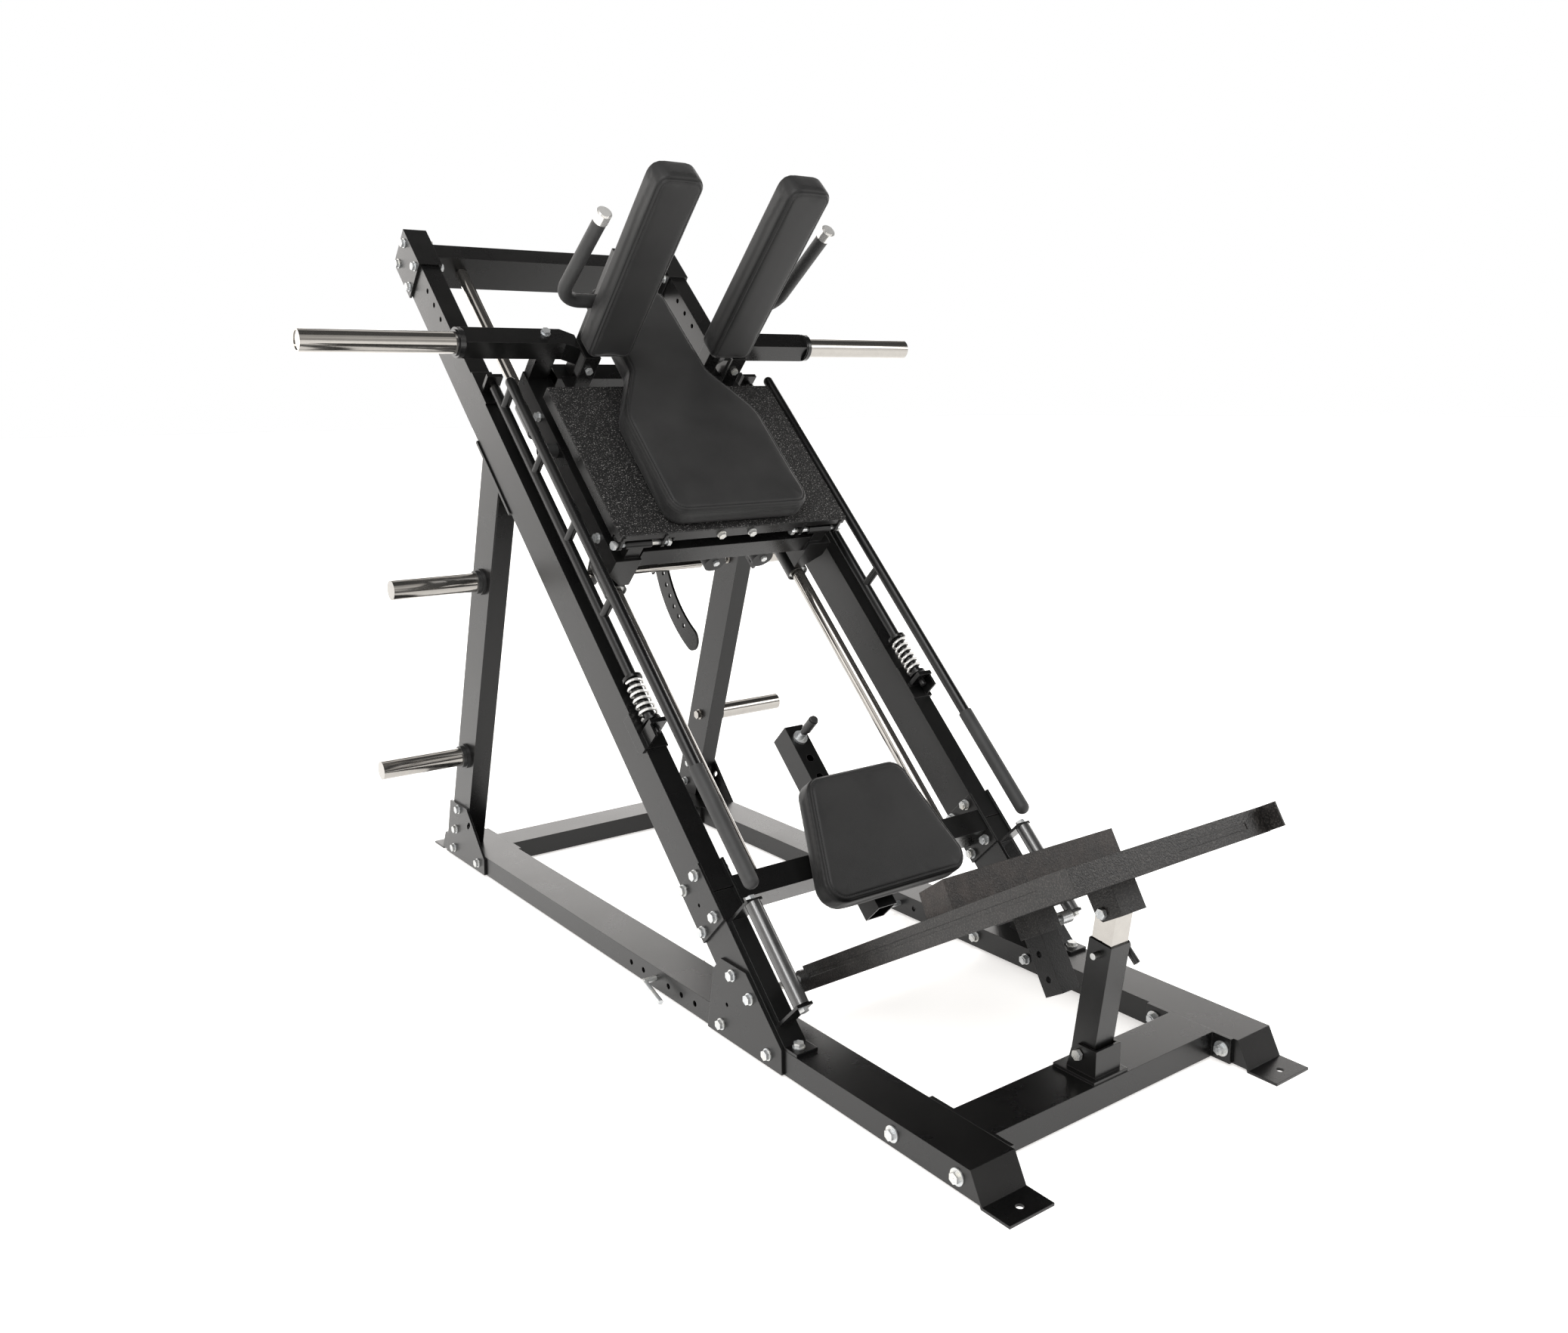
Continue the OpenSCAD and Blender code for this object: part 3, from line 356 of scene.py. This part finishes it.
def bolted_paint(name, direction, limit, both_sides=False):
    """Black paint with bare zinc bolt heads beyond a plane, or beyond its mirror too."""
    coat = Coat(powder_paint(name))
    reach = coat.dot(coat.position, direction)
    if both_sides:
        reach = coat.math("ABSOLUTE", reach, 0.0)
    on_bolt = coat.beyond(reach, limit=limit, sharpness=5000.0)
    paint = coat.shader
    coat.shader = coat.node("BsdfPrincipled")
    coat.finish(**zinc_inputs(coat, ((0.25, (0.42, 0.44, 0.46)), (0.8, (0.60, 0.58, 0.53)))))
    both = coat.mix_shader(on_bolt, paint.outputs[0], coat.shader.outputs[0])
    coat.feed(coat.tree.nodes["Material Output"], {"Surface": both})
    return coat.material


SLOT_MATERIALS = {
    "black_paint": powder_paint("black_paint"),
    "mottled_plate": mottled("mottled_plate", level=0.5, warmth=0.5, roughness=0.26),
    "grit": grit("grit"),
    "chrome": chrome("chrome"),
    "zinc": zinc("zinc"),
    "collar": rubber("collar", base=0.008, roughness=0.16),
    "black_plastic": rubber("black_plastic", base=0.015, roughness=0.42),
    "rubber": rubber("rubber", base=0.014, roughness=0.6),
    "grip_black": rubber("grip_black", base=0.03, roughness=0.22, ior=1.7),
    "foam": foam("foam"),
    "vinyl": vinyl("vinyl"),
}

# On the pad bracket the bolt heads lie below this distance up the slope.
BRACKET_BOLT_S = 1210.9      # mm
bracket_limit = -slope_point(0, BRACKET_BOLT_S, 0).dot(Vector((0, COS_SLOPE, COS_SLOPE)))

# Pieces whose material differs from the rest of their slot.
PIECE_MATERIALS = {
    "post_pin": dipped_pin("pin_and_lever", dip_x=0.0395),
    "calf_block": calf_block_coat("calf_block_coat"),
    "handle_caps": chrome("cap_chrome", roughness=0.16, tint=(0.74, 0.73, 0.71), metallic=0.6),
    "catch_springs": chrome("spring_chrome", roughness=0.20, tint=(0.78, 0.77, 0.75),
                            metallic=0.55),
    "post_outer": bolted_paint("post_paint", direction=(1, 0, 0), limit=0.0285,
                               both_sides=True),
    "back_pad_bracket": bolted_paint("pad_bracket_paint",
                                     direction=(0, -COS_SLOPE, -COS_SLOPE),
                                     limit=bracket_limit),
}
THREAD = sewing_thread("thread")


def dress_pieces():
    """Give every CAD piece its own material, or that of its slot."""
    slot_of = {part["node"]: part["material_slot"] for part in frame["record"]["subparts"]}
    for name, piece in frame["nodes"].items():
        material = PIECE_MATERIALS.get(name) or SLOT_MATERIALS[slot_of[name]]
        if len(piece.material_slots) == 0:
            piece.data.materials.append(material)
        for slot in piece.material_slots:
            slot.material = material


dress_pieces()


# ------------------------------------------------------------ mesh helpers
def add_to_scene(name, data):
    thing = bpy.data.objects.new(name, data)
    bpy.context.scene.collection.objects.link(thing)
    return thing


def mesh_object(name, bm):
    mesh = bpy.data.meshes.new(name)
    bm.to_mesh(mesh)
    bm.free()
    return add_to_scene(name, mesh)


def skin(bm, rings):
    """Join closed rings of vertices into a capped solid."""
    count = len(rings[0])
    for low, high in zip(rings, rings[1:]):
        for i in range(count):
            j = (i + 1) % count
            bm.faces.new((low[i], low[j], high[j], high[i]))
    bm.faces.new(list(reversed(rings[0])))
    bm.faces.new(rings[-1])


def shade_smooth(thing):
    for face in thing.data.polygons:
        face.use_smooth = True


def get_coords(thing):
    flat = np.empty(len(thing.data.vertices) * 3)
    thing.data.vertices.foreach_get("co", flat)
    return flat.reshape(-1, 3)


def set_coords(thing, points):
    thing.data.vertices.foreach_set("co", points.ravel())
    thing.data.update()


def apply_modifiers(thing):
    depsgraph = bpy.context.evaluated_depsgraph_get()
    mesh = bpy.data.meshes.new_from_object(thing.evaluated_get(depsgraph))
    thing.modifiers.clear()
    thing.data = mesh
    mesh.name = thing.name


# ------------------------------------------------------------ outlines
def rounded_outline(corners, radii, step=0.006):
    """Closed outline through rounded corners, sampled about every step metres."""
    count = len(corners)
    points = []
    for i, radius in enumerate(radii):
        before, corner, after = (Vector(corners[(i + k) % count]) for k in (-1, 0, 1))
        back, ahead = (before - corner).normalized(), (after - corner).normalized()
        half_angle = back.angle(ahead) / 2
        # an arc takes at most 0.48 of either side
        cut = min(radius / math.tan(half_angle), 0.48 * (before - corner).length,
                  0.48 * (after - corner).length)
        radius = cut * math.tan(half_angle)
        centre = corner + (back + ahead).normalized() * (radius / math.sin(half_angle))
        start, end = corner + back * cut - centre, corner + ahead * cut - centre
        sweep = start.angle(end)
        sign = 1 if (start.x * end.y - start.y * end.x) > 0 else -1
        steps = max(3, int(radius * sweep / step))
        for j in range(steps + 1):
            turn = sign * sweep * j / steps
            cos, sin = math.cos(turn), math.sin(turn)
            points.append(centre + Vector((start.x * cos - start.y * sin,
                                           start.x * sin + start.y * cos)))
    dense = []
    for here, there in zip(points, points[1:] + points[:1]):
        steps = max(1, int((there - here).length / step))
        dense += [here.lerp(there, j / steps) for j in range(steps)]
    return dense


def signed_area(loop):
    """Twice the enclosed area, positive when the points run anticlockwise."""
    return sum(p.x * q.y - q.x * p.y for p, q in zip(loop, loop[1:] + loop[:1]))


def inset(loop, distance):
    """The anticlockwise outline moved inwards."""
    moved = []
    for i, point in enumerate(loop):
        along = (loop[(i + 1) % len(loop)] - loop[i - 1]).normalized()
        moved.append(point + Vector((-along.y, along.x)) * distance)
    return moved


def outline_distances(points, loop):
    """Distance from each (x, y) row to the closed outline, in batches to spare memory."""
    batch = 4000
    start = np.array([(p.x, p.y) for p in loop])
    side = np.roll(start, -1, axis=0) - start
    length2 = np.maximum((side ** 2).sum(1), 1e-14)
    result = np.empty(len(points))
    for i in range(0, len(points), batch):
        offset = points[i:i + batch, None, :] - start[None]
        t = np.clip((offset * side[None]).sum(2) / length2[None], 0, 1)
        gap = offset - side[None] * t[..., None]
        result[i:i + batch] = np.sqrt((gap ** 2).sum(2).min(1))
    return result


# ------------------------------------------------------------ upholstered pads
# All in metres, in the pad's own plane with its face at z = thick.
GROWTH = 0.0008              # added all round the outline
BASE_TUCK = 0.004            # inset of the bottom ring
BASE_RISE = 0.004            # height at which the tuck ends
EDGE_STEPS = 5               # steps of the rounded face edge
PINNED_HEIGHT = 0.006        # the cloth is held below this
CROWN_REACH = 0.045          # distance over which the face rises from its edge
FACE_DROP = 0.0006           # lowers the whole upper half
SEAM_PLACE = 0.45            # outer seam's inset, as a share of the edge radius
SEAM_GAP = 0.007             # from the outer seam to the stitched one
SEAM_WIDTH = 0.0022
SEAM_DEPTH = 0.0016
STITCH_PITCH = 0.0060
STITCH_LENGTH = 0.0042
THREAD_RADIUS = 0.00045
# Rings along a stitch: place (-1 to 1), share of the thread radius.
STITCH_RINGS = [(-1.0, 0.25), (-0.8, 0.85), (-0.3, 1.0), (0.3, 1.0), (0.8, 0.85), (1.0, 0.25)]
STITCH_SIDES = 5


def inflate(thing, limit):
    """Puff the cushion up as pressurised cloth, moving no vertex beyond the limit."""
    frames = 20
    before = get_coords(thing)
    pin = thing.vertex_groups.new(name="pin")
    for vertex in thing.data.vertices:
        if vertex.co.z < PINNED_HEIGHT:
            pin.add([vertex.index], 1.0, "REPLACE")
    cloth = thing.modifiers.new("cloth", "CLOTH")
    settings = cloth.settings
    settings.quality = 5
    settings.mass = 0.35
    settings.tension_stiffness = 18
    settings.compression_stiffness = 18
    settings.shear_stiffness = 6
    settings.bending_stiffness = 1.2
    settings.use_pressure = True
    settings.uniform_pressure_force = 4.0
    settings.effector_weights.gravity = 0
    settings.vertex_group_mass = "pin"
    cloth.collision_settings.use_collision = False
    cloth.point_cache.frame_start = 1
    cloth.point_cache.frame_end = frames
    scene = bpy.context.scene
    for number in range(1, frames + 1):
        scene.frame_set(number)
    depsgraph = bpy.context.evaluated_depsgraph_get()
    after = get_coords(thing.evaluated_get(depsgraph))
    thing.modifiers.clear()
    scene.frame_set(1)
    # guards against an evaluated mesh that no longer matches vertex for vertex
    if len(after) == len(before):
        move = after - before
        length = np.linalg.norm(move, axis=1)
        move *= np.minimum(1.0, limit / np.maximum(length, 1e-9))[:, None]
        set_coords(thing, before + move)


def crown_face(thing, loop, thick, crown):
    """Raise the face gently towards its middle."""
    points = get_coords(thing)
    top = points[:, 2] > thick * 0.5
    inward = outline_distances(points[top][:, :2], loop)
    points[top, 2] += crown * (1 - np.exp(-inward / CROWN_REACH)) - FACE_DROP
    set_coords(thing, points)


def press_seams(thing, loop, thick, outer, inner):
    """Press in two seam lines; the seam attribute is 1 elsewhere and falls along them, where the
    vinyl paints shade into the grooves.
    """
    attribute = thing.data.attributes.new("seam", "FLOAT", "POINT")
    points = get_coords(thing)
    values = np.ones(len(points))
    top = np.where(points[:, 2] > thick * 0.72)[0]
    inward = outline_distances(points[top][:, :2], loop)
    for place, strength in ((outer, 1.0), (inner, 0.55)):
        pressed = np.exp(-((inward - place) / SEAM_WIDTH) ** 2) * strength
        values[top] = np.minimum(values[top], 1 - pressed)
        points[top, 2] -= SEAM_DEPTH * pressed
    set_coords(thing, points)
    attribute.data.foreach_set("value", values)


def add_stitch(bm, centre, along, z):
    """One rounded bead of thread, arched along its length."""
    rings = []
    for place, share in STITCH_RINGS:
        radius = THREAD_RADIUS * share
        lift = THREAD_RADIUS * 0.5 * (1 - place * place)
        ring = []
        for j in range(STITCH_SIDES):
            turn = 2 * math.pi * j / STITCH_SIDES
            side = Vector((-along.y, along.x)) * (radius * math.cos(turn))
            ring.append(bm.verts.new((centre.x + along.x * place * STITCH_LENGTH / 2 + side.x,
                                      centre.y + along.y * place * STITCH_LENGTH / 2 + side.y,
                                      z + lift + radius * math.sin(turn))))
        rings.append(ring)
    skin(bm, rings)


def add_stitches(name, cushion, loop, distance, thick, matrix, body):
    """Thread stitches laid on the cushion's face along the inset outline."""
    tree = BVHTree.FromObject(cushion, bpy.context.evaluated_depsgraph_get())
    path = inset(loop, distance)
    lengths = [(q - p).length for p, q in zip(path, path[1:] + path[:1])]
    total = sum(lengths)
    count = int(total / STITCH_PITCH)
    bm = bmesh.new()
    i, passed = 0, 0.0
    for k in range(count):
        wanted = k * total / count
        while passed + lengths[i] < wanted and i < len(path) - 1:
            passed += lengths[i]
            i += 1
        along = (path[(i + 1) % len(path)] - path[i]).normalized()
        centre = path[i] + along * (wanted - passed)
        hit = tree.ray_cast(Vector((centre.x, centre.y, thick + 0.05)), Vector((0, 0, -1)))[0]
        # a stitch that would miss the face is left out
        if hit is not None:
            add_stitch(bm, centre, along, hit.z)
    stitches = mesh_object(name, bm)
    shade_smooth(stitches)
    stitches.data.materials.append(THREAD)
    stitches.data.transform(matrix)
    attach(stitches, body)


def pad(name, half_outline, thick, edge, crown, swell, matrix, body):
    """A boxed, stitched cushion.

    half_outline: corners on the -X side, mirrored to +X; edge: radius of the face edge;
    swell: furthest the cloth may move.
    """
    corners = half_outline + [(-x, y, radius) for x, y, radius in reversed(half_outline)]
    loop = rounded_outline([(x * MM, y * MM) for x, y, _ in corners],
                           [radius * MM for _, _, radius in corners])
    if signed_area(loop) < 0:
        loop.reverse()
    # side profile: inset, height
    profile = [(BASE_TUCK, 0.0), (GROWTH, BASE_RISE), (0.0, thick * 0.5), (0.0, thick - edge)]
    for j in range(1, EDGE_STEPS + 1):
        turn = math.pi / 2 * j / EDGE_STEPS
        profile.append((edge * (1 - math.cos(turn)), thick - edge + edge * math.sin(turn)))
    bm = bmesh.new()
    skin(bm, [[bm.verts.new((p.x, p.y, z)) for p in inset(loop, d - GROWTH)]
              for d, z in profile])
    bmesh.ops.recalc_face_normals(bm, faces=bm.faces)
    cushion = mesh_object(name, bm)

    remesh = cushion.modifiers.new("remesh", "REMESH")
    remesh.mode = "VOXEL"
    remesh.voxel_size = 0.0045
    remesh.use_smooth_shade = True
    apply_modifiers(cushion)
    inflate(cushion, swell)
    crown_face(cushion, loop, thick, crown)
    smooth = cushion.modifiers.new("smooth", "SMOOTH")
    smooth.factor = 0.5
    smooth.iterations = 1
    apply_modifiers(cushion)
    subdivide = cushion.modifiers.new("sub", "SUBSURF")
    subdivide.levels = 1
    subdivide.render_levels = 1
    apply_modifiers(cushion)

    outer_seam = edge * SEAM_PLACE
    inner_seam = outer_seam + SEAM_GAP
    press_seams(cushion, loop, thick, outer_seam, inner_seam)
    shade_smooth(cushion)
    cushion.data.materials.append(SLOT_MATERIALS["vinyl"])
    add_stitches(name + "_stitches", cushion, loop, inner_seam, thick, matrix, body)
    cushion.data.transform(matrix)
    cushion.data.update()
    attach(cushion, body)
    return cushion


# Outline corners on the -X side, in mm: x, y, rounding radius.
BACK_HALF = [(-193, -365, 42), (-191, -60, 120), (-111, 82, 60), (-106, 374, 34)]
SEAT_HALF = [(-202, -138, 44), (-128, 137, 40)]
SHOULDER_HALF = [(-59, 0, 22), (-59, 504, 30)]
SHOULDER_X = 171             # mm, either side of the middle
SEAT_SINK = 0.033            # m, underside of the seat below its reference point

back = pad("back_cushion", BACK_HALF, thick=51 * MM, edge=0.007, crown=0.003, swell=0.0016,
           matrix=slope_matrix(x=0, s=1590, n=147), body="press_plate")
seat = pad("seat_cushion", SEAT_HALF, thick=51 * MM, edge=0.008, crown=0.003, swell=0.0016,
           matrix=slope_matrix(x=0, s=440, n=58, tilt=6)
           @ Matrix.Translation((0, 0, -SEAT_SINK)),
           body="frame")
# The shoulder pads stand square to the slope, their faces looking down it.
shoulders = [
    pad("shoulder_cushion_" + side, SHOULDER_HALF, thick=61 * MM, edge=0.009, crown=0.002,
        swell=0.0014,
        matrix=slope_matrix(x=x, s=1745, n=215) @ Matrix.Rotation(math.radians(90), 4, "X"),
        body="sled")
    for side, x in (("left", -SHOULDER_X), ("right", SHOULDER_X))]

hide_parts("back_pad")
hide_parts("seat_pad")
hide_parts("shoulder_pads")


# ------------------------------------------------------------ floor
def build_floor():
    lines = [-60, -12, -4, 0, 4, 12, 60]      # grid lines in x and y
    bm = bmesh.new()
    rows = [[bm.verts.new((x, y, -0.0005)) for x in lines] for y in lines]
    for near, far in zip(rows, rows[1:]):
        for i in range(len(lines) - 1):
            bm.faces.new((near[i], near[i + 1], far[i + 1], far[i]))
    floor = mesh_object("floor", bm)
    coat = new_coat("floor")
    # bright enough that only the contact shadows stay grey
    rays = coat.node("LightPath").outputs
    glow = coat.math("ADD", coat.math("MULTIPLY", rays["Is Camera Ray"], 0.60),
                     coat.math("MULTIPLY", rays["Is Glossy Ray"], 0.85))
    coat.feed(coat.shader, {
        "Base Color": coat.ramp(coat.noise(scale=1.5, detail=3),
                                (0.3, (0.90, 0.895, 0.885)), (0.7, (0.93, 0.927, 0.92))),
        "Roughness": 0.6,
        "Specular IOR Level": 0.25,
        "Emission Color": (1.0, 0.975, 0.95, 1),
        "Emission Strength": glow})
    floor.data.materials.append(coat.material)


# ------------------------------------------------------------ world
# Bright sky patches: azimuth from +Y towards +X, elevation, half angle (degrees), strength.
SKY_PATCHES = [(47, 50, 10, 1.2), (-100, 45, 22, 1.3), (150, 34, 11, 0.7), (215, 58, 14, 0.8)]


def build_world():
    """Glossy parts see low white walls and a dark ceiling; matt ones get even light."""
    world = bpy.data.worlds.new("studio")
    bpy.context.scene.world = world
    world.use_nodes = True
    graph = Graph(world.node_tree)
    direction = graph.node("TexCoord").outputs["Generated"]
    split = graph.node("SeparateXYZ")
    graph.feed(split, {0: direction})

    def to_unit(value):
        """-1..1 to 0..1"""
        return graph.scale_add(value, gain=0.5, base=0.5, clamp=True)

    def height(degrees):
        return 0.5 + 0.5 * math.sin(math.radians(degrees))

    def spread(degrees):
        return 0.5 + 0.5 * math.cos(math.radians(degrees))

    def patch(azimuth, elevation, half, soft):
        """1 inside a round patch of the sky, fading to 0 over the soft angle."""
        a, b = math.radians(azimuth), math.radians(elevation)
        centre = (math.sin(a) * math.cos(b), math.cos(a) * math.cos(b), math.sin(b))
        return graph.ramp(to_unit(graph.dot(direction, centre)),
                          (spread(half + soft), 0.0), (spread(half), 1.0))

    def background(colour, strength, node=None):
        node = node or graph.node("Background")
        graph.feed(node, {"Color": rgba(colour), "Strength": strength})
        return node.outputs[0]

    low = graph.ramp(to_unit(split.outputs[2]), (0.0, 1.0), (height(24), 1.0), (height(31), 0.0))
    wall = graph.scale_add(patch(azimuth=10, elevation=0, half=75, soft=25),
                           gain=2.35, base=0.68)
    total = graph.scale_add(low, gain=wall, base=0.04)
    for azimuth, elevation, half, strength in SKY_PATCHES:
        glow = graph.math("MULTIPLY", patch(azimuth, elevation, half, soft=6), strength)
        total = graph.math("ADD", total, glow)
    seen = background(1.0, 1.0, graph.tree.nodes["Background"])
    glossy = background((1.0, 0.975, 0.95), total)
    diffuse = background((1.0, 0.995, 0.985), 1.10)
    rays = graph.node("LightPath").outputs
    lighting = graph.mix_shader(rays["Is Diffuse Ray"], glossy, diffuse)
    surface = graph.mix_shader(rays["Is Camera Ray"], lighting, seen)
    graph.feed(graph.tree.nodes["World Output"], {"Surface": surface})
    world.cycles.sampling_method = "NONE"


# ------------------------------------------------------------ lights and camera
def square_light(name, place, target, size, power):
    light = bpy.data.lights.new(name, "AREA")
    light.energy = power
    light.size = size
    light.shape = "RECTANGLE"
    light.size_y = size
    lamp = add_to_scene(name, light)
    lamp.location = place
    aim = Vector(target) - Vector(place)
    lamp.rotation_euler = aim.to_track_quat("-Z", "Y").to_euler()


def build_camera(place, yaw, pitch, roll, lens):
    """yaw: from +Y towards +X; pitch: downwards; all angles in radians."""
    camera = bpy.data.cameras.new("camera")
    holder = add_to_scene("camera", camera)
    forward = Vector((math.sin(yaw) * math.cos(pitch), math.cos(yaw) * math.cos(pitch),
                      -math.sin(pitch)))
    level = Vector((math.cos(yaw), -math.sin(yaw), 0))
    upright = level.cross(forward)
    right = math.cos(roll) * level + math.sin(roll) * upright
    up = -math.sin(roll) * level + math.cos(roll) * upright
    matrix = Matrix((right, up, -forward)).transposed().to_4x4()
    matrix.translation = Vector(place)
    holder.matrix_world = matrix
    camera.sensor_fit = "HORIZONTAL"
    camera.sensor_width = 36.0
    camera.lens = lens
    camera.clip_end = 100
    bpy.context.scene.camera = holder


build_floor()
build_world()
square_light("key", place=(-3.4, -2.4, 3.8), target=(0, 0, 0.7), size=1.8, power=90)
square_light("fill", place=(3.4, -3.2, 2.6), target=(0, 0, 0.8), size=1.6, power=35)
square_light("top", place=(-1.7, -1.9, 4.9), target=(0, 0, 0.7), size=1.8, power=70)
build_camera(place=(-1.72865, -2.38579, 1.24696), yaw=math.radians(36.33),
             pitch=math.radians(11.52), roll=-0.0124, lens=30.1511711)
view = bpy.context.scene.view_settings
view.view_transform = "Standard"
view.look = "None"
view.exposure = 0.0
